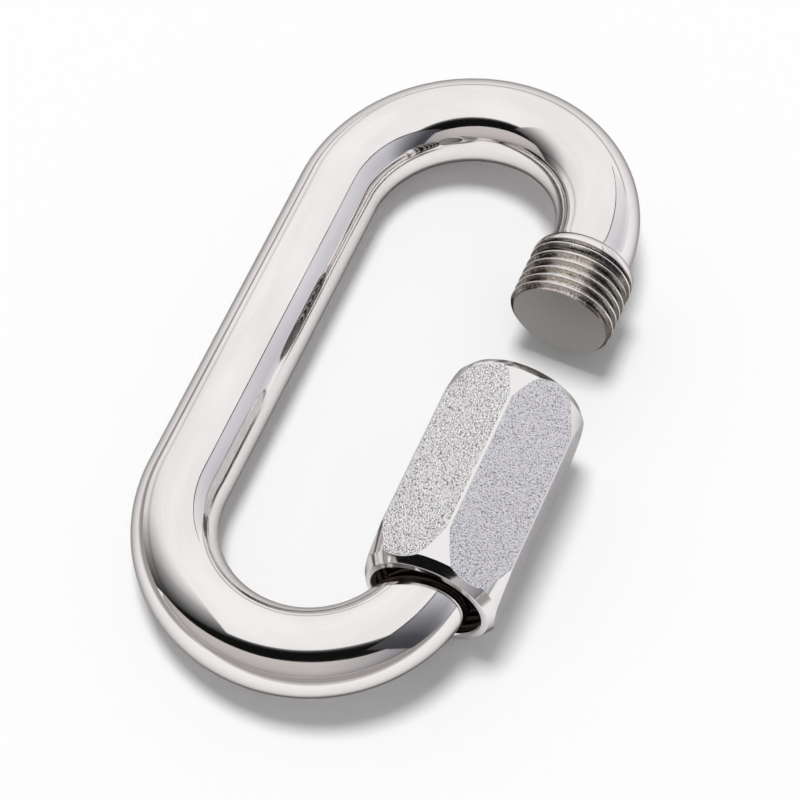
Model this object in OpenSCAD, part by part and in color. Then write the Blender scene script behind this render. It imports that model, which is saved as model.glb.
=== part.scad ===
// Quick link for chain: an oval of bent round bar, open on one side, with a long hexagonal nut that closes the gap.
// The bar's two ends are turned and threaded, and the nut is drawn run right back, so the gap is open.
// The link lies on its solid side and on one ridge of the nut, which tilts the oval a little.
// +Y runs along the link and +Z is up. The origin is under the middle of the outline, on the surface it lies on.

/* [Bar] */
// Diameter of the round bar
rod_d = 8; // [6:0.1:8.8]
// Distance between the centre lines of the solid side and of the side with the nut
side_gap = 25.2; // [23:0.1:34]
// Overall length over the two bends
link_len = 68.8; // [64:0.1:92]
// Bend radius of the bar's centre line on the side with the nut; the solid side takes what is left of side_gap
gate_bend = 11.9; // [9.5:0.05:14]

/* [Threaded ends] */
// Diameter over the thread's crests
thread_d = 10; // [9.4:0.1:12]
// Length of the thread, from the end face to the run-out groove
thread_len = 4.55; // [3:0.05:6]
// Chamfer on the first turn of the thread
thread_chamfer = 0.35; // [0.1:0.05:0.8]
// Width of the run-out groove behind the thread
groove_w = 0.35; // [0.2:0.05:1]
// Depth of the run-out groove below the thread's crests
groove_depth = 0.55; // [0.2:0.05:0.8]
// Width of the plain collar behind the groove
collar_w = 1.05; // [0.2:0.05:2]
// Length of the rounded shoulder from the collar down to the bar
shoulder_len = 1.2; // [0.4:0.05:2]
// Straight bar between the upper bend and the shoulder of its threaded end
upper_lead = 0.7; // [0.2:0.1:2]

/* [Nut] */
// Length of the nut
nut_len = 22.8; // [16:0.1:25]
// Wall of the nut between its bore and the middle of a flat
nut_wall = 1.14; // [0.9:0.02:2]
// Angle of the tapered ends to the nut's axis
end_taper = 11.5; // [8:0.5:20]
// Length of the steeper nose between the taper and each end face
nose_len = 0.95; // [0.5:0.05:1.4]
// Angle of the nose to the nut's axis
nose_slope = 34; // [24:1:45]
// How far the rim of each end lies inside the flats
end_drop = 0.29; // [0.1:0.01:0.4]
// How much is turned off the sharp ridges between the flats
ridge_cut = 0.06; // [0.02:0.01:0.2]
// Chamfer round the outside of each end face
rim_chamfer = 0.15; // [0.1:0.05:0.4]
// Chamfer round the mouth of the bore at each end
mouth_chamfer = 0.15; // [0.05:0.05:0.3]

/* [Fits] */
// Running clearance between the thread's crests and the nut's bore, on the radius
run_clear = 0.06; // [0.02:0.01:0.1]
// Room left between the bore and the lower bend when the nut is run right back
bend_clear = 0.57; // [0.2:0.01:0.8]
// How far the lower end face then lies inside the nut
end_cover = 0.3; // [0.1:0.05:1]

/* [Hidden] */
$fn = 96;
// Points on the curve of the shoulder
shoulder_steps = 6;
// Overlap that lets a cut run clear of a face
cut_over = 1;
steel = [0.78, 0.78, 0.79];
nut_steel = [0.70, 0.70, 0.73];

rod_r = rod_d / 2;
thread_r = thread_d / 2;
bore_r = thread_r + run_clear;

// Nut section: flats round the bore, then the ridges that the lathe leaves
nut_flat_r = bore_r + nut_wall;
ridge_r = nut_flat_r / cos(30) - ridge_cut;
end_r = nut_flat_r - end_drop;
nose_r = end_r + (nose_len - rim_chamfer) * tan(nose_slope);
taper_end = nose_len + (ridge_r - nose_r) / tan(end_taper);

// Centre line of the bar, in the plane of the oval
crown_y = link_len / 2 - rod_r;
solid_bend = side_gap - gate_bend;
solid_tangent = crown_y - solid_bend;
gate_tangent = crown_y - gate_bend;

// Places along the open side; the nut's way back ends where the lower bend fills its bore
stub_len = thread_len + groove_w + collar_w + shoulder_len;
nut_past_tangent = sqrt(pow(gate_bend - rod_r, 2) - pow(gate_bend - bore_r + bend_clear, 2));
nut_foot = -gate_tangent - nut_past_tangent;
lower_face = nut_foot + nut_len - end_cover;
lower_lead = lower_face + gate_tangent - stub_len;

// How the link lies: the bar of the solid side and a ridge of the nut touch the surface
rest_tilt = asin((ridge_r - rod_r) / side_gap);
side_gap_flat = side_gap * cos(rest_tilt);
solid_x = (rod_r - nut_flat_r - side_gap_flat) / 2;
gate_x = solid_x + side_gap_flat;

// Half profile of a threaded end from the bend's last section (height 0) to the end face, as [radius, height]
function threaded_end_profile(lead) =
    let (
        collar_foot = lead + shoulder_len,
        groove_foot = collar_foot + collar_w,
        thread_foot = groove_foot + groove_w,
        face = lead + stub_len
    )
    concat(
        [[0, 0], [rod_r, 0]],
        [for (i = [0:shoulder_steps])
            let (a = 90 * i / shoulder_steps)
            [rod_r + (thread_r - rod_r) * sin(a), lead + shoulder_len * (1 - cos(a))]],
        [[thread_r, groove_foot], [thread_r - groove_depth, groove_foot],
         [thread_r - groove_depth, thread_foot], [thread_r, thread_foot],
         [thread_r, face - thread_chamfer], [thread_r - thread_chamfer, face], [0, face]]
    );

// Half profile of one end of the nut as turned on the lathe: face, rim, nose and taper up to the ridges
function nut_end_profile() =
    [[0, 0], [end_r - rim_chamfer, 0], [end_r, rim_chamfer], [nose_r, nose_len], [ridge_r, taper_end]];

// Half profile of the nut's whole blank, which has the same end twice
function nut_blank_profile() =
    let (half = nut_end_profile(), last = len(half) - 1)
    concat(half, [for (i = [0:last]) [half[last - i][0], nut_len - half[last - i][1]]]);

// Stands what is drawn along +Z along +Y instead
module along_y() {
    rotate([-90, 0, 0]) children();
}

// Quarter turn of bar from +X to +Y, round the origin
module quarter_bend(bend_r) {
    rotate_extrude(angle = 90) translate([bend_r, 0]) circle(r = rod_r);
}

// Both quarter turns at one end of the oval, which meet at its crown
module end_bends() {
    translate([solid_bend, gate_tangent, 0]) quarter_bend(gate_bend);
    translate([solid_bend, solid_tangent, 0]) rotate([0, 0, 90]) quarter_bend(solid_bend);
}

module threaded_end(lead) {
    rotate_extrude() polygon(threaded_end_profile(lead));
}

// The whole bent bar, flat, with the solid side's centre line on the Y axis
module flat_oval() {
    translate([0, -solid_tangent, 0]) along_y() cylinder(r = rod_r, h = 2 * solid_tangent);
    end_bends();
    mirror([0, 1, 0]) end_bends();
    translate([side_gap, gate_tangent, 0]) mirror([0, 1, 0]) along_y() threaded_end(upper_lead);
    translate([side_gap, -gate_tangent, 0]) along_y() threaded_end(lower_lead);
}

module link_body() {
    color(steel)
        translate([solid_x, 0, rod_r]) rotate([0, -rest_tilt, 0]) flat_oval();
}

module hex_blank() {
    intersection() {
        rotate([0, 0, 30]) cylinder(r = nut_flat_r / cos(30), h = nut_len, $fn = 6);
        rotate_extrude() polygon(nut_blank_profile());
    }
}

module nut_bore() {
    translate([0, 0, -cut_over]) cylinder(r = bore_r, h = nut_len + 2 * cut_over);
    for (end = [0, 1])
        translate([0, 0, end * nut_len]) mirror([0, 0, end])
            cylinder(r1 = bore_r + mouth_chamfer, r2 = bore_r, h = mouth_chamfer);
}

// The nut stands on a ridge, with a flat upright on each side
module sleeve_nut() {
    color(nut_steel)
        translate([gate_x, nut_foot, ridge_r]) along_y()
            difference() {
                hex_blank();
                nut_bore();
            }
}

link_body();
sleeve_nut();
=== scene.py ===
import math

import bpy
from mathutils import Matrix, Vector


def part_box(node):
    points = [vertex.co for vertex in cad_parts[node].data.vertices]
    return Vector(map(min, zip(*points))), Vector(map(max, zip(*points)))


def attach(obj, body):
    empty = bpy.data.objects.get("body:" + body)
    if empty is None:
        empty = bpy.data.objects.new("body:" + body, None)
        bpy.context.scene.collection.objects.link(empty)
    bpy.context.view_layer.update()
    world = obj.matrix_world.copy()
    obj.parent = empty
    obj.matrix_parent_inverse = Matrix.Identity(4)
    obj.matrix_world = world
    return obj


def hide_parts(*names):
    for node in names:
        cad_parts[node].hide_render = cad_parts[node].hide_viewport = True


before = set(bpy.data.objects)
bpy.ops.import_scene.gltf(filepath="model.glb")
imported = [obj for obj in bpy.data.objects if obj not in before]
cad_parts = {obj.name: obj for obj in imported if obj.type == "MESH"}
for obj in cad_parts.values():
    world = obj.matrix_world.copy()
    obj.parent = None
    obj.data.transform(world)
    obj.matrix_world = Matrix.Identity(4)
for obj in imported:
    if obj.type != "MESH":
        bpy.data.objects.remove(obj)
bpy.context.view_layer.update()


# The link: one length of round stainless bar, upset at both ends, turned and threaded there, bent cold
# into an oval with an open side and then polished bright. Both ends have the same right-hand thread.
# It lies on its solid leg, with the open side a little higher, where the thicker nut carries it.
link_low, link_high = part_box("link_body")
nut_low, nut_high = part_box("sleeve_nut")
bar_radius = 0.004
gate_bend = 0.0119
solid_x = link_low.x + bar_radius
gate_x = (nut_low.x + nut_high.x) / 2
gate_z = (nut_low.z + nut_high.z) / 2
legs_apart = math.hypot(gate_x - solid_x, gate_z - bar_radius)
link_tilt = math.atan2(gate_z - bar_radius, gate_x - solid_x)
crown_y = link_high.y - bar_radius
solid_bend = legs_apart - gate_bend
gate_tangent = crown_y - gate_bend
solid_tangent = crown_y - solid_bend
bar_sides = 128
bend_steps = 56
link_smooth_angle = math.radians(22)

# Turned ends, from the shoulder's foot on the bar to the end face
thread_radius = 0.005
shoulder_len = 0.0012
flare_len = 0.0001
collar_len = 0.00105
groove_len = 0.00035
thread_len = 0.00455
face_chamfer = 0.00035
end_len = shoulder_len + collar_len + groove_len + thread_len
core_radius = 0.00442
core_short = 0.0004
edge_break = 0.00005
upper_lead = 0.0007
end_cover = 0.0003
upper_foot = gate_tangent - upper_lead
lower_face = nut_high.y - end_cover
lower_foot = lower_face - end_len

# Thread form: narrow crests with broken edges, flat roots
thread_pitch = 0.00092
root_radius = 0.00455
root_flat = 0.0002
crest_flat = 0.00012
crest_break = 0.00003
thread_turns = 8
turns_before_cut = 1.7
thread_start = turns_before_cut * thread_pitch

# Distances within which corners are one, and within which a cut meets a corner
merge_gap = 1e-6
cut_gap = 1e-7


def activate(piece):
    """Leaves this object alone selected and active, in object mode."""
    bpy.ops.object.select_all(action='DESELECT')
    piece.select_set(True)
    bpy.context.view_layer.objects.active = piece


def drawn_line(name, points):
    """A turner's template: one vertex pulled out through (radius, height) points."""
    bpy.ops.object.select_all(action='DESELECT')
    bpy.ops.mesh.primitive_plane_add(size=bar_radius)
    line = bpy.context.object
    line.name = name
    bpy.ops.object.mode_set(mode='EDIT')
    bpy.ops.mesh.select_all(action='SELECT')
    bpy.ops.mesh.merge(type='CENTER')
    last = points[0]
    bpy.ops.transform.translate(value=(last[0], 0, last[1]))
    for radius, height in points[1:]:
        step = (radius - last[0], 0, height - last[1])
        bpy.ops.mesh.extrude_region_move(TRANSFORM_OT_translate={"value": step})
        last = (radius, height)
    bpy.ops.object.mode_set(mode='OBJECT')
    return line


def sealed(piece):
    """Merges what meets and turns every face outwards."""
    activate(piece)
    bpy.ops.object.mode_set(mode='EDIT')
    bpy.ops.mesh.select_all(action='SELECT')
    bpy.ops.mesh.remove_doubles(threshold=merge_gap)
    bpy.ops.mesh.normals_make_consistent(inside=False)
    bpy.ops.object.mode_set(mode='OBJECT')
    return piece


def turned(line, steps, pitch=0.0, turns=1):
    """Sweeps a template round Z, flat as on a lathe or rising by a pitch as in a thread."""
    lathe = line.modifiers.new("lathe", 'SCREW')
    lathe.axis = 'Z'
    lathe.steps = lathe.render_steps = steps
    lathe.screw_offset = pitch
    lathe.iterations = turns
    activate(line)
    bpy.ops.object.modifier_apply(modifier=lathe.name)
    return sealed(line)


def cut_square(piece, height, keep_above):
    """Cuts a swept thread square across at a height and closes the cut."""
    activate(piece)
    bpy.ops.object.mode_set(mode='EDIT')
    bpy.ops.mesh.select_all(action='SELECT')
    bpy.ops.mesh.bisect(plane_co=(0, 0, height), plane_no=(0, 0, 1), use_fill=True,
                        clear_inner=keep_above, clear_outer=not keep_above, threshold=cut_gap)
    bpy.ops.object.mode_set(mode='OBJECT')


def carve(piece, tool, way):
    """Joins a tool to a piece, cuts it away or keeps what both share, and drops the tool."""
    cut = piece.modifiers.new("cut", 'BOOLEAN')
    cut.operation = way
    cut.solver = 'EXACT'
    cut.object = tool
    activate(piece)
    bpy.ops.object.modifier_apply(modifier=cut.name)
    bpy.data.objects.remove(tool)


def place_at(piece, at, turn):
    """Puts a piece at its place and leaves its object at the origin."""
    piece.location = at
    piece.rotation_euler = turn
    activate(piece)
    bpy.ops.object.transform_apply(location=True, rotation=True, scale=True)


def twin(piece, name):
    """A second piece of the same shape."""
    copy = piece.copy()
    copy.data = piece.data.copy()
    copy.name = name
    bpy.context.collection.objects.link(copy)
    return copy


def thread_rod(name, root, crest, steps, turns):
    """A threaded rod along Z, open at both ends until it is cut square."""
    flank = (thread_pitch - root_flat - crest_flat) / 2
    crest_foot = root_flat + flank
    crest_end = crest_foot + crest_flat
    form = [(root, 0), (root, root_flat),
            (crest - crest_break, crest_foot - crest_break), (crest, crest_foot + crest_break),
            (crest, crest_end - crest_break), (crest - crest_break, crest_end + crest_break),
            (root, thread_pitch)]
    return turned(drawn_line(name, form), steps, thread_pitch, turns)


def pull_straight(run):
    """Draws the bar's open end out along Y."""
    bpy.ops.mesh.extrude_region_move(TRANSFORM_OT_translate={"value": (0, run, 0)})


def bend_quarter(centre_y):
    """Takes the bar's open end through a quarter turn round a point between the legs."""
    bpy.ops.mesh.spin(steps=bend_steps, angle=math.radians(-90),
                      center=(solid_bend, centre_y, 0), axis=(0, 0, 1))


# The flare is a curve that leaves the bar straight and runs into the round shoulder
flare_steps = 6
flare_top = math.radians(15)
shoulder_steps = 14
step_up = thread_radius - bar_radius
flare_end = (bar_radius + step_up * math.sin(flare_top), shoulder_len * (1 - math.cos(flare_top)))
flare_turn = flare_end[1] - (flare_end[0] - bar_radius) * math.tan(flare_top) * shoulder_len / step_up
end_line = []
for step in range(flare_steps):
    part = step / flare_steps
    rest = 1 - part
    flare_radius = bar_radius + part ** 2 * (flare_end[0] - bar_radius)
    flare_height = -rest ** 2 * flare_len + 2 * part * rest * flare_turn + part ** 2 * flare_end[1]
    end_line.append((flare_radius, flare_height))
for step in range(shoulder_steps + 1):
    angle = flare_top + (math.radians(90) - flare_top) * step / shoulder_steps
    end_line.append((bar_radius + step_up * math.sin(angle), shoulder_len * (1 - math.cos(angle))))

# A fine line and a rolled collar follow, as (height past the shoulder, depth below the crests)
line_depth = 0.00024
collar_form = [(edge_break, edge_break), (0.00014, line_depth), (0.0002, line_depth), (0.00036, 0.0001),
               (0.00047, 0.00003), (0.00052, 0), (0.0006, 0), (0.00065, 0.00003), (0.0008, 0.00012),
               (collar_len - edge_break, 0.00026), (collar_len, 0.00031)]
end_line += [(thread_radius - depth, shoulder_len + height) for height, depth in collar_form]

# The core under the groove and the thread stops short of the end face, inside the thread
collar_top = shoulder_len + collar_len
end_line += [(core_radius + edge_break, collar_top), (core_radius, collar_top + edge_break),
             (core_radius, end_len - core_short), (0, end_len - core_short)]

# Both ends are turned alike and face each other across the gap
link = turned(drawn_line("link_bar", end_line), bar_sides)
lower_end = twin(link, "lower_end")
face_down = (math.radians(90), 0, 0)
face_up = (math.radians(-90), 0, 0)
place_at(link, (legs_apart, upper_foot, 0), face_down)
place_at(lower_end, (legs_apart, lower_foot, 0), face_up)

# The bar grows out of the upper end, round the oval and down to the lower end
bar_start = upper_foot + flare_len
bar_stop = lower_foot - flare_len
activate(link)
for corner in link.data.vertices:
    corner.select = abs(corner.co.y - bar_start) < merge_gap
for edge in link.data.edges:
    edge.select = all(link.data.vertices[i].select for i in edge.vertices)
for face in link.data.polygons:
    face.select = False
bpy.ops.object.mode_set(mode='EDIT')
pull_straight(gate_tangent - bar_start)
bend_quarter(gate_tangent)
bend_quarter(solid_tangent)
pull_straight(-2 * solid_tangent)
bend_quarter(-solid_tangent)
bend_quarter(-gate_tangent)
pull_straight(bar_stop + gate_tangent)
bpy.ops.object.mode_set(mode='OBJECT')
activate(link)
lower_end.select_set(True)
bpy.ops.object.join()
sealed(link)

# One thread is cut, chamfered at its face, and set on both ends
thread = thread_rod("thread", root_radius, thread_radius, bar_sides, thread_turns)
thread_end = thread_start + thread_len
cut_square(thread, thread_start, True)
cut_square(thread, thread_end, False)
over = 0.0002
chamfer_line = [(0, thread_start - over), (thread_radius + over, thread_start - over),
                (thread_radius + over, thread_end - face_chamfer - over),
                (thread_radius - face_chamfer - over, thread_end + over), (0, thread_end + over)]
carve(thread, turned(drawn_line("chamfer", chamfer_line), bar_sides), 'INTERSECT')
sealed(thread)
lower_thread = twin(thread, "lower_thread")
thread_drop = end_len - thread_len - thread_start
place_at(thread, (legs_apart, upper_foot - thread_drop, 0), face_down)
place_at(lower_thread, (legs_apart, lower_foot + thread_drop, 0), face_up)
carve(link, thread, 'UNION')
carve(link, lower_thread, 'UNION')
sealed(link)


def along_bar(point):
    """Where a point of the link was while the bar was straight: along it, and two ways across."""
    x, y, z = point
    gate_arc = gate_bend * math.pi / 2
    solid_arc = solid_bend * math.pi / 2
    half_way = gate_arc + solid_arc + solid_tangent
    if abs(y) <= solid_tangent and x < solid_bend:
        return (half_way - y, -x, z)
    if abs(y) <= gate_tangent and x >= solid_bend:
        if y > (upper_foot + lower_foot) / 2:
            return (y - gate_tangent, x - legs_apart, z)
        return (2 * half_way + y + gate_tangent, x - legs_apart, z)
    bend, tangent = (gate_bend, gate_tangent) if x >= solid_bend else (solid_bend, solid_tangent)
    out = math.hypot(x - solid_bend, abs(y) - tangent) - bend
    swept = math.atan2(abs(y) - tangent, x - solid_bend)
    run = gate_arc + solid_bend * (swept - math.pi / 2) if swept > math.pi / 2 else gate_bend * swept
    if y < 0:
        run = 2 * half_way - run
    return (run, out, z)


straight = link.data.attributes.new("straightened", 'FLOAT_VECTOR', 'POINT')
for corner in link.data.vertices:
    straight.data[corner.index].vector = along_bar(corner.co)

# Faces of the turned ends by their place: collar, groove and thread, and the flat end faces
thread_slot = 1
face_slot = 2
face_gap = 1e-5
for face in link.data.polygons:
    middle = face.center
    if middle.x < legs_apart - 2 * thread_radius:
        continue
    from_upper = upper_foot - middle.y
    from_lower = middle.y - lower_foot
    for foot in (from_upper, from_lower):
        if shoulder_len < foot < end_len + face_gap:
            face.material_index = face_slot if foot > end_len - face_gap else thread_slot
place_at(link, (solid_x, 0, bar_radius), (0, -link_tilt, 0))
bpy.ops.object.shade_smooth_by_angle(angle=link_smooth_angle)


def set_sockets(tree, node, sockets):
    """Links each socket that is given another node's output, and sets the others to their values."""
    for name, value in sockets.items():
        if isinstance(value, bpy.types.NodeSocket):
            tree.links.new(value, node.inputs[name])
        else:
            node.inputs[name].default_value = value


def add_node(tree, kind, settings, sockets):
    """Adds a node with its settings and its sockets."""
    made = tree.nodes.new(kind)
    for name, value in settings.items():
        setattr(made, name, value)
    set_sockets(tree, made, sockets)
    return made


def vector_math(tree, way, one, other):
    """Two vectors put together, as a vector."""
    return add_node(tree, 'ShaderNodeVectorMath', {"operation": way}, {0: one, 1: other}).outputs[0]


def number_math(tree, way, one, other):
    """Two numbers put together, as a number."""
    return add_node(tree, 'ShaderNodeMath', {"operation": way}, {0: one, 1: other}).outputs[0]


def noise(tree, place, scale, detail, roughness=0.5):
    """Cloudy noise round about one half."""
    sockets = {"Vector": place, "Scale": scale, "Detail": detail, "Roughness": roughness}
    return add_node(tree, 'ShaderNodeTexNoise', {}, sockets).outputs[0]


def mapped(tree, value, low, high, low_to=0.0, high_to=1.0, curve='LINEAR'):
    """A number carried from one range to another and held at both ends."""
    sockets = {0: value, 1: low, 2: high, 3: low_to, 4: high_to}
    return add_node(tree, 'ShaderNodeMapRange', {"interpolation_type": curve}, sockets).outputs[0]


def mixed(tree, share, first, second, blend='MIX'):
    """A colour between two others."""
    settings = {"data_type": 'RGBA', "blend_type": blend}
    return add_node(tree, 'ShaderNodeMix', settings, {0: share, 6: first, 7: second}).outputs[2]


def bumped(tree, height, strength, depth):
    """The surface's direction, with fine relief."""
    sockets = {"Height": height, "Strength": strength, "Distance": depth}
    return add_node(tree, 'ShaderNodeBump', {}, sockets).outputs[0]


def object_place(tree):
    """A point's place on its piece."""
    return add_node(tree, 'ShaderNodeTexCoord', {}, {}).outputs["Object"]


def axis_offset(tree, place):
    """A place measured from the axis of the threaded ends and the nut."""
    return vector_math(tree, 'SUBTRACT', place, (gate_x, 0, gate_z))


def axis_distance(tree, offset):
    """How far such an offset lies from the axis."""
    across = vector_math(tree, 'MULTIPLY', offset, (1, 0, 1))
    return add_node(tree, 'ShaderNodeVectorMath', {"operation": 'LENGTH'}, {0: across}).outputs["Value"]


# Tint of the steel where it is seen at a low angle
edge_tint = (0.34, 0.33, 0.325, 1)


def new_steel(piece, name):
    """A metal material in the piece's next slot, with its node tree and shader."""
    steel = bpy.data.materials.new(name)
    steel.use_nodes = True
    piece.data.materials.append(steel)
    shader = steel.node_tree.nodes["Principled BSDF"]
    set_sockets(steel.node_tree, shader, {"Metallic": 1.0, "Specular Tint": edge_tint})
    return steel.node_tree, shader


# Polished bar: bright, faintly warm, with hair-fine polishing lines along the bar and cloudier patches
bar_dull = (0.80, 0.775, 0.765, 1)
bar_bright = (0.88, 0.85, 0.845, 1)
hair_stretch = (120, 5600, 5600)
cloud_stretch = (90, 420, 420)
hair_share = 0.22
tree, shader = new_steel(link, "polished_bar")
bar_place = add_node(tree, 'ShaderNodeAttribute', {"attribute_name": "straightened"}, {}).outputs["Vector"]
hair_lines = noise(tree, vector_math(tree, 'MULTIPLY', bar_place, hair_stretch), scale=1.0, detail=3.0)
clouds = noise(tree, vector_math(tree, 'MULTIPLY', bar_place, cloud_stretch), scale=1.0, detail=2.0)
shade = add_node(tree, 'ShaderNodeMix', {"data_type": 'FLOAT'}, {0: hair_share, 2: clouds, 3: hair_lines})
bar_shade = mapped(tree, shade.outputs[0], low=0.36, high=0.62)
set_sockets(tree, shader, {
    "Base Color": mixed(tree, bar_shade, bar_dull, bar_bright),
    "Roughness": mapped(tree, hair_lines, low=0.35, high=0.75, low_to=0.045, high_to=0.10),
    "Normal": bumped(tree, hair_lines, strength=0.12, depth=0.000004)})

# Thread: oiled brown-grey, with painted shade down its sides and painted highlights along its top and crests
oil_and_side_shade_dark = (0.055, 0.047, 0.041, 1)
oil_thin = (0.44, 0.40, 0.365, 1)
top_sheen_bright = (0.74, 0.69, 0.645, 1)
crest_bright = (0.82, 0.795, 0.78, 1)
crest_low = thread_radius - 0.00006
crest_high = thread_radius - 0.00001
drag_stretch = (1.0, 0.09, 1.0)
# The way up, towards the light: the painted shade and the painted highlight follow it.
sheen_way = (-0.12, 0, 0.99)
tree, shader = new_steel(link, "turned_thread")
place = object_place(tree)
offset = axis_offset(tree, place)
radius = axis_distance(tree, offset)
drag = vector_math(tree, 'MULTIPLY', place, drag_stretch)
fleck = noise(tree, drag, scale=6500.0, detail=3.0, roughness=0.6)
patch = noise(tree, drag, scale=300.0, detail=1.0)
wear = number_math(tree, 'MULTIPLY', fleck, patch)
worn = mapped(tree, wear, low=0.17, high=0.41, curve='SMOOTHSTEP')
lean = add_node(tree, 'ShaderNodeVectorMath', {"operation": 'DOT_PRODUCT'}, {0: offset, 1: sheen_way})
top_share = number_math(tree, 'DIVIDE', lean.outputs["Value"], radius)
# Painted shade: the sides turned away from the top are darker.
painted_side_shade = mapped(tree, top_share, low=0.2, high=0.85, low_to=0.35, curve='SMOOTHSTEP')
oil_and_side_shade = mixed(tree, number_math(tree, 'MULTIPLY', worn, painted_side_shade), oil_and_side_shade_dark, oil_thin)
# Painted highlight along the top, broken by streaks.
painted_top_sheen = mapped(tree, top_share, low=0.84, high=0.985, curve='SMOOTHSTEP')
sheen_streak = mapped(tree, fleck, low=0.30, high=0.62, low_to=0.35)
oil_and_sheen = mixed(tree, number_math(tree, 'MULTIPLY', painted_top_sheen, sheen_streak), oil_and_side_shade, top_sheen_bright)
# Lighter crests: partly rubbed wear, partly a painted highlight.
crest = mapped(tree, radius, crest_low, crest_high, curve='SMOOTHSTEP')
set_sockets(tree, shader, {
    "Base Color": mixed(tree, crest, oil_and_sheen, crest_bright),
    "Roughness": mapped(tree, fleck, low=0.3, high=0.7, low_to=0.12, high_to=0.26),
    "Normal": bumped(tree, fleck, strength=0.25, depth=0.00002)})

# End faces: faced off on the lathe, with faint rings; their grey is painted dark as painted shade
painted_face_dark = (0.325, 0.313, 0.30, 1)
painted_face_light = (0.385, 0.371, 0.355, 1)
rings_per_metre = 14000.0
tree, shader = new_steel(link, "faced_end")
radius = axis_distance(tree, axis_offset(tree, object_place(tree)))
ring_place = number_math(tree, 'MULTIPLY', radius, rings_per_metre)
rings = add_node(tree, 'ShaderNodeTexNoise', {"noise_dimensions": '1D'},
                 {"W": ring_place, "Scale": 1.0, "Detail": 2.0}).outputs[0]
set_sockets(tree, shader, {
    "Base Color": mixed(tree, rings, painted_face_dark, painted_face_light),
    "Roughness": 0.48,
    "Normal": bumped(tree, rings, strength=0.15, depth=0.00001)})

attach(link, "link")
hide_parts("link_body")


# The sleeve nut: hexagon stainless bar, drilled and threaded right through, turned to a long taper, a
# steeper nose and a round rim at both ends. The flats keep the drawn bar's grain; the tapers, ridges and
# rims are polished. It runs on the threads of the link and sits here on the lower one.
nut_len = nut_high.y - nut_low.y
flat_radius = (nut_high.x - nut_low.x) / 2
corner_radius = flat_radius / math.cos(math.radians(30))
ridge_round = 0.00034
ridge_steps = 8
ridge_radius = nut_high.z - gate_z
rim_drop = 0.00029
rim_radius = flat_radius - rim_drop
rim_height = 0.00015
rim_round = 0.00014
nose_len = 0.00095
nose_angle = math.radians(34)
taper_angle = math.radians(11.5)
bore_radius = 0.00506
bore_thread = 0.00546
mouth_chamfer = 0.00015
mouth_radius = bore_radius + mouth_chamfer
nut_sides = 192
tap_sides = 64
nut_smooth_angle = math.radians(9)

# The hexagon bar, with its ridges rounded
bpy.ops.object.select_all(action='DESELECT')
bpy.ops.mesh.primitive_cylinder_add(vertices=6, radius=corner_radius, depth=nut_len + 2 * bar_radius,
                                    location=(0, 0, nut_len / 2))
nut = bpy.context.object
nut.name = "sleeve_nut_piece"
bpy.ops.object.transform_apply(location=True, rotation=True, scale=True)
bpy.ops.object.mode_set(mode='EDIT')
bpy.ops.mesh.select_mode(type='EDGE')
bpy.ops.mesh.select_all(action='DESELECT')
bpy.ops.object.mode_set(mode='OBJECT')
for edge in nut.data.edges:
    ends = [nut.data.vertices[i].co for i in edge.vertices]
    edge.select = abs(ends[0].z - ends[1].z) > nut_len
bpy.ops.object.mode_set(mode='EDIT')
ridge_offset = ridge_round * math.tan(math.radians(30))
bpy.ops.mesh.bevel(offset=ridge_offset, segments=ridge_steps, profile=0.5, clamp_overlap=False)
bpy.ops.mesh.select_mode(type='VERT')
bpy.ops.object.mode_set(mode='OBJECT')

# The lathe's share: round rim, nose and taper, the same at both ends
rim_steps = 8
rim_sweep = math.radians(90) - nose_angle
rim_top = rim_round * (1 - math.cos(rim_sweep))
rim_out = rim_radius + (rim_top - rim_height) * math.tan(nose_angle)
half_line = [(0, 0)]
for step in range(rim_steps + 1):
    angle = rim_sweep * step / rim_steps
    half_line.append((rim_out - rim_round * (math.sin(rim_sweep) - math.sin(angle)),
                      rim_round * (1 - math.cos(angle))))
nose_radius = rim_radius + (nose_len - rim_height) * math.tan(nose_angle)
half_line.append((nose_radius, nose_len))
half_line.append((ridge_radius, nose_len + (ridge_radius - nose_radius) / math.tan(taper_angle)))
blank_line = half_line + [(radius, nut_len - height) for radius, height in reversed(half_line)]
carve(nut, turned(drawn_line("blank", blank_line), nut_sides), 'INTERSECT')

# The bore, tapped from end to end, with its two mouths broken
spare_turns = 6
tap_turns = int(nut_len / thread_pitch) + spare_turns
tap = thread_rod("tap", bore_radius, bore_thread, tap_sides, tap_turns)
tap_foot = 2 * thread_pitch
cut_square(tap, tap_foot, True)
cut_square(tap, tap_foot + nut_len + 2 * thread_pitch, False)
place_at(tap, (0, 0, -tap_foot - thread_pitch), (0, 0, 0))
carve(nut, tap, 'DIFFERENCE')
mouth_in = 0.0006
mouth_out = 0.0003
for height, out in ((0, -1), (nut_len, 1)):
    inner = height - out * mouth_in
    outer = height + out * mouth_out
    mouth_line = [(0, inner), (mouth_radius - mouth_in, inner), (mouth_radius + mouth_out, outer), (0, outer)]
    carve(nut, turned(drawn_line("mouth", mouth_line), bar_sides), 'DIFFERENCE')
sealed(nut)

# Faces by their place: grained flats, polished tapers, ridges and rims, and the bore with its painted shade
flat_slot = 0
taper_slot = 1
bore_slot = 2
bore_reach = bore_thread + 0.00005
smallest_flat = 2e-5
upright_limit = 0.01
for face in nut.data.polygons:
    middle = face.center
    out = math.hypot(middle.x, middle.y)
    if out < bore_reach and rim_height < middle.z < nut_len - rim_height:
        face.material_index = bore_slot
    elif face.area > smallest_flat and abs(face.normal.z) < upright_limit:
        face.material_index = flat_slot
    else:
        face.material_index = taper_slot
place_at(nut, (gate_x, nut_low.y, gate_z), face_up)
bpy.ops.object.shade_smooth_by_angle(angle=nut_smooth_angle)
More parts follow.
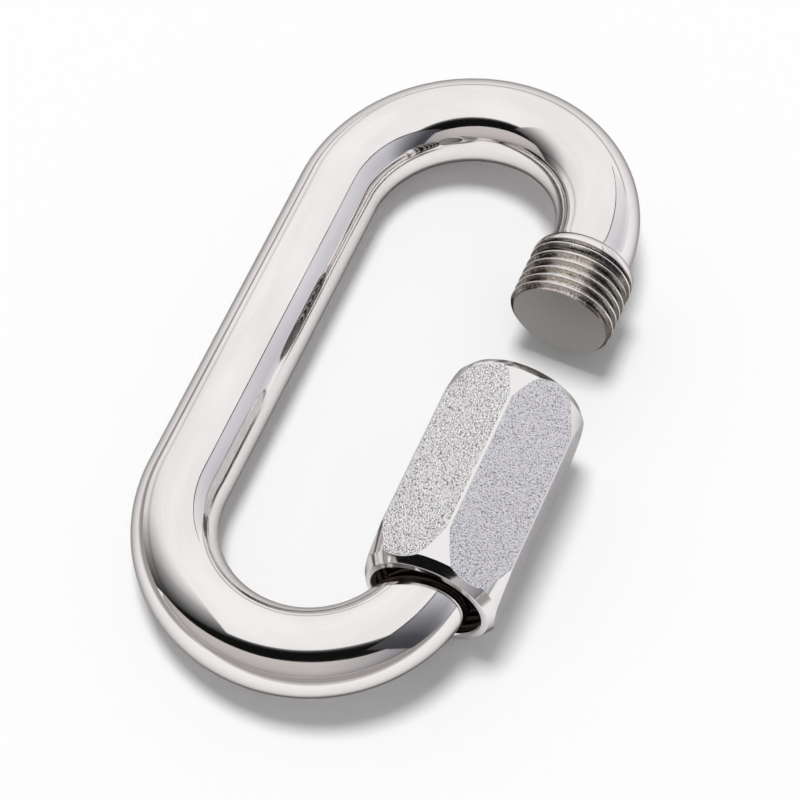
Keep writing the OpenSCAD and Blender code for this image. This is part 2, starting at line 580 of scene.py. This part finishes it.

# Grained flats: the bar's drawn skin, satin, with fine pits, and painted light that differs by side
# The flats on the side of the solid leg are painted lighter with darker pits, the others darker and bluish.
left_painted_pit = (0.02, 0.019, 0.019, 1)
right_painted_pit = (0.29, 0.279, 0.288, 1)
left_painted_skin = (1.0, 0.98, 0.985, 1)
right_painted_skin = (0.87, 0.845, 0.874, 1)
tree, shader = new_steel(nut, "grained_flats")
place = object_place(tree)
grain = noise(tree, place, scale=7500.0, detail=1.0)
pits = mapped(tree, grain, low=0.33, high=0.445, curve='SMOOTHSTEP')
across = add_node(tree, 'ShaderNodeSeparateXYZ', {}, {0: place}).outputs["X"]
# Painted light: which side of the nut a point lies on.
light_side_share = mapped(tree, across, gate_x - ridge_round, gate_x + ridge_round)
pit_colour = mixed(tree, light_side_share, left_painted_pit, right_painted_pit)
skin_colour = mixed(tree, light_side_share, left_painted_skin, right_painted_skin)
set_sockets(tree, shader, {
    "Base Color": mixed(tree, pits, pit_colour, skin_colour),
    "Roughness": 0.24,
    "Normal": bumped(tree, grain, strength=1.0, depth=0.00012)})

# Polished tapers, ridges and rims, with faint lines from the lathe
taper_dull = (0.80, 0.785, 0.78, 1)
taper_bright = (0.88, 0.86, 0.855, 1)
lathe_stretch = (300, 9000, 300)
tree, shader = new_steel(nut, "polished_taper")
lathe_place = vector_math(tree, 'MULTIPLY', object_place(tree), lathe_stretch)
lathe_lines = noise(tree, lathe_place, scale=1.0, detail=2.0)
set_sockets(tree, shader, {
    "Base Color": mixed(tree, lathe_lines, taper_dull, taper_bright),
    "Roughness": mapped(tree, lathe_lines, low=0.3, high=0.7, low_to=0.05, high_to=0.12)})

# Bore: tapped and left as cut, brown-grey with oil, and painted near black as painted shade
bore_oil_and_shade_dark = (0.05, 0.043, 0.038, 1)
bore_oil_and_shade_light = (0.14, 0.12, 0.105, 1)
tree, shader = new_steel(nut, "tapped_bore")
oil = noise(tree, object_place(tree), scale=1800.0, detail=2.0)
set_sockets(tree, shader, {"Base Color": mixed(tree, oil, bore_oil_and_shade_dark, bore_oil_and_shade_light), "Roughness": 0.3})

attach(nut, "nut")
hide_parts("sleeve_nut")


# The floor: a plain pale sheet that the link lies on, painted matt, wide enough to fill every view and to
# take the soft shadow of the key lamp.
floor_size = 40.0
floor_colour = (0.96, 0.96, 0.96, 1)
bpy.ops.object.select_all(action='DESELECT')
bpy.ops.mesh.primitive_plane_add(size=floor_size, location=(0, 0, 0))
floor = bpy.context.object
floor.name = "floor"
floor_paint = bpy.data.materials.new("floor_paint")
floor_paint.use_nodes = True
floor_shader = floor_paint.node_tree.nodes["Principled BSDF"]
set_sockets(floor_paint.node_tree, floor_shader,
            {"Base Color": floor_colour, "Roughness": 1.0, "Specular IOR Level": 0.0})
floor.data.materials.append(floor_paint)


# The studio: a white tent, a key lamp at the back left that throws the shadow, and four boards, a dark
# flag and two low tables round the tent's white top, which polished steel needs to show its form. The
# boards, flag and tables stand outside the picture and are seen in the metal only.
pure_white = (1, 1, 1, 1)
fill_level = 0.42
before_first_bounce = 0.5
world = bpy.data.worlds.new("white_tent")
bpy.context.scene.world = world
world.use_nodes = True
tree = world.node_tree
ray = add_node(tree, 'ShaderNodeLightPath', {}, {})
seen = number_math(tree, 'MAXIMUM', ray.outputs["Is Camera Ray"], ray.outputs["Is Glossy Ray"])
shown = number_math(tree, 'MAXIMUM', seen, ray.outputs["Is Transmission Ray"])
direct = number_math(tree, 'LESS_THAN', ray.outputs["Diffuse Depth"], before_first_bounce)
white = number_math(tree, 'MULTIPLY', shown, direct)
level = mapped(tree, white, low=0.0, high=1.0, low_to=fill_level)
set_sockets(tree, tree.nodes["Background"], {"Color": pure_white, "Strength": level})

key_strength = 1.95
key_spread = math.radians(17)
key_aim = Vector((0.14, -0.07, -1.0))
key = bpy.data.lights.new("key_lamp", 'SUN')
key.energy = key_strength
key.angle = key_spread
key_lamp = bpy.data.objects.new("key_lamp", key)
bpy.context.collection.objects.link(key_lamp)
key_lamp.rotation_euler = key_aim.to_track_quat('-Z', 'Y').to_euler()
key_lamp.visible_glossy = False


def grey(shade):
    """A neutral shade."""
    return (shade, shade, shade)


def ramp(tree, value, stops):
    """A colour that runs through stops, each a place from 0 to 1 and the shade there."""
    made = add_node(tree, 'ShaderNodeValToRGB', {}, {0: value})
    while len(made.color_ramp.elements) < len(stops):
        made.color_ramp.elements.new(0.5)
    for stop, (at, shade) in zip(made.color_ramp.elements, stops):
        stop.position = at
        stop.color = (*shade, 1)
    return made.outputs[0]


def board_paint(name, along, stops_along, stops_up, fade):
    """A board's glow, shaded along it and up it, turning white above fade where it isn't dark."""
    paint = bpy.data.materials.new(name)
    paint.use_nodes = True
    tree = paint.node_tree
    tree.nodes.clear()
    place = add_node(tree, 'ShaderNodeTexCoord', {}, {}).outputs["UV"]
    split = add_node(tree, 'ShaderNodeSeparateXYZ', {}, {0: place})
    run, up = ("Y", "X") if along == 'Y' else ("X", "Y")
    shade_along = ramp(tree, split.outputs[run], stops_along)
    shade_up = ramp(tree, split.outputs[up], stops_up)
    tone = mixed(tree, 1.0, shade_along, shade_up, blend='MULTIPLY')
    past_top = 1.0001
    lit = mapped(tree, split.outputs[up], fade, past_top, curve='SMOOTHSTEP')
    faded = mixed(tree, number_math(tree, 'MULTIPLY', lit, shade_along), tone, pure_white)
    path = add_node(tree, 'ShaderNodeLightPath', {}, {})
    gathered = mapped(tree, path.outputs["Diffuse Depth"], low=0.0, high=1.0, low_to=1.0, high_to=fill_level)
    glow = add_node(tree, 'ShaderNodeEmission', {}, {"Color": faded, "Strength": gathered})
    add_node(tree, 'ShaderNodeOutputMaterial', {}, {"Surface": glow.outputs[0]})
    return paint


def board(name, top, foot, spread, along, stops_along, stops_up, fade=1.0, turn=0.0):
    """A board from its top edge to its foot, both (place across, height), spread along X or Y."""
    rise = math.hypot(top[0] - foot[0], top[1] - foot[1])
    slope = math.atan2(top[1] - foot[1], top[0] - foot[0])
    middle = ((top[0] + foot[0]) / 2, (top[1] + foot[1]) / 2)
    width = spread[1] - spread[0]
    centre = (spread[0] + spread[1]) / 2
    bpy.ops.object.select_all(action='DESELECT')
    bpy.ops.mesh.primitive_plane_add(size=1)
    made = bpy.context.object
    made.name = name
    if along == 'Y':
        made.location = (middle[0], centre, middle[1])
        made.rotation_euler = (0, -slope, turn)
        made.scale = (rise, width, 1)
    else:
        made.location = (centre, middle[0], middle[1])
        made.rotation_euler = (slope, 0, turn)
        made.scale = (width, rise, 1)
    made.data.materials.append(board_paint(name, along, stops_along, stops_up, fade))
    made.visible_camera = made.visible_diffuse = made.visible_transmission = False
    made.visible_shadow = made.visible_volume_scatter = False


# A tall board and a nearly level dark flag in front, both turned a little
front_turn = math.radians(14)
plain = [(0.0, grey(1)), (1.0, grey(1))]
front_along = [(0.0, grey(0.6)), (0.45, grey(0.92)), (0.665, grey(1)), (0.765, (0.60, 0.62, 0.67)),
               (0.86, (0.36, 0.38, 0.42)), (1.0, (0.28, 0.29, 0.33))]
front_up = [(0.0, (0.33, 0.314, 0.308)), (0.2, (0.50, 0.476, 0.467)), (0.4, (0.58, 0.552, 0.541)),
            (0.6, (0.61, 0.581, 0.569)), (0.94, (0.66, 0.632, 0.62)), (1.0, (0.30, 0.29, 0.285))]
board("front_board", top=(-0.595, 0.398), foot=(-0.725, 0.0), spread=(-2.6, 1.6), along='X',
      stops_along=front_along, stops_up=front_up, turn=front_turn)

flag_up = [(0.0, grey(0.006)), (0.915, grey(0.006)), (0.962, grey(0.06)), (1.0, (0.40, 0.395, 0.395))]
board("front_flag", top=(-0.272, 0.348), foot=(-0.95, 0.390), spread=(-2.0, 1.2), along='X',
      stops_along=plain, stops_up=flag_up, turn=front_turn)

# A board on each side that slopes up to the top light, and a low strip behind
top_light_z = 0.174
right_along = [(0.0, (0.06, 0.062, 0.07)), (0.09, (0.085, 0.088, 0.10)), (0.18, (0.25, 0.255, 0.275)),
               (0.29, (0.66, 0.665, 0.72)), (0.45, (0.77, 0.775, 0.82)), (0.65, (0.89, 0.89, 0.92)),
               (1.0, grey(1))]
right_up = [(0.0, grey(1)), (0.25, (0.9, 0.9, 0.91)), (0.5, (0.82, 0.82, 0.83)), (0.85, grey(0.97)),
            (0.970, grey(1)), (0.976, grey(0.01)), (1.0, grey(0.01))]
board("right_board", top=(0.102, top_light_z), foot=(0.30, 0.0), spread=(-0.13, 0.42), along='Y',
      stops_along=right_along, stops_up=right_up)

left_along = [(0.0, grey(0.02)), (0.10, grey(0.10)), (0.20, (0.23, 0.227, 0.225)),
              (0.29, (0.48, 0.475, 0.475)), (0.38, (0.82, 0.815, 0.815)), (0.62, (0.99, 0.985, 0.985)),
              (1.0, grey(1))]
left_up = [(0.0, grey(0.95)), (0.30, grey(1)), (0.40, (0.66, 0.66, 0.665)), (0.50, grey(1))]
board("left_board", top=(-0.115, top_light_z), foot=(-0.33, 0.0), spread=(-0.15, 0.30), along='Y',
      stops_along=left_along, stops_up=left_up, fade=0.40)

back_up = [(0.0, (0.8, 0.8, 0.81)), (0.5, (0.42, 0.42, 0.43)), (1.0, (0.8, 0.8, 0.81))]
board("back_strip", top=(0.40, 0.085), foot=(0.40, 0.045), spread=(-0.5, 0.5), along='X',
      stops_along=plain, stops_up=back_up)

# Two low tables past the edges of the white floor's part in the picture, in front and on the left
table_z = 0.0003
table_far = 0.36
table_up = [(0.0, (0.36, 0.342, 0.333)), (0.965, (0.365, 0.347, 0.338)), (1.0, (0.75, 0.74, 0.73))]
for name, near, bearing in (("front_table", 0.046, -66.5), ("left_table", 0.042, 203.5)):
    reach = (near + table_far) / 2
    middle_x = reach * math.cos(math.radians(bearing))
    middle_y = reach * math.sin(math.radians(bearing))
    half_depth = (table_far - near) / 2
    board(name, top=(middle_y + half_depth, table_z), foot=(middle_y - half_depth, table_z),
          spread=(middle_x - table_far, middle_x + table_far), along='X',
          stops_along=plain, stops_up=table_up, turn=math.radians(bearing + 90))


# The camera: a long lens from the front right and above, at the photograph's angle, which leans a little
# out of level.
camera = bpy.data.cameras.new("camera")
camera.sensor_width = 36.0
camera.lens = 154.18
camera.clip_start = 0.01
camera.clip_end = 100.0
camera_stand = bpy.data.objects.new("camera", camera)
bpy.context.collection.objects.link(camera_stand)
camera_stand.location = (0.0514286, -0.1523293, 0.2772945)
camera_stand.rotation_euler = (math.radians(30.1179), math.radians(-2.4768), math.radians(22.8554))
bpy.context.scene.camera = camera_stand
bpy.context.scene.view_settings.view_transform = 'Standard'
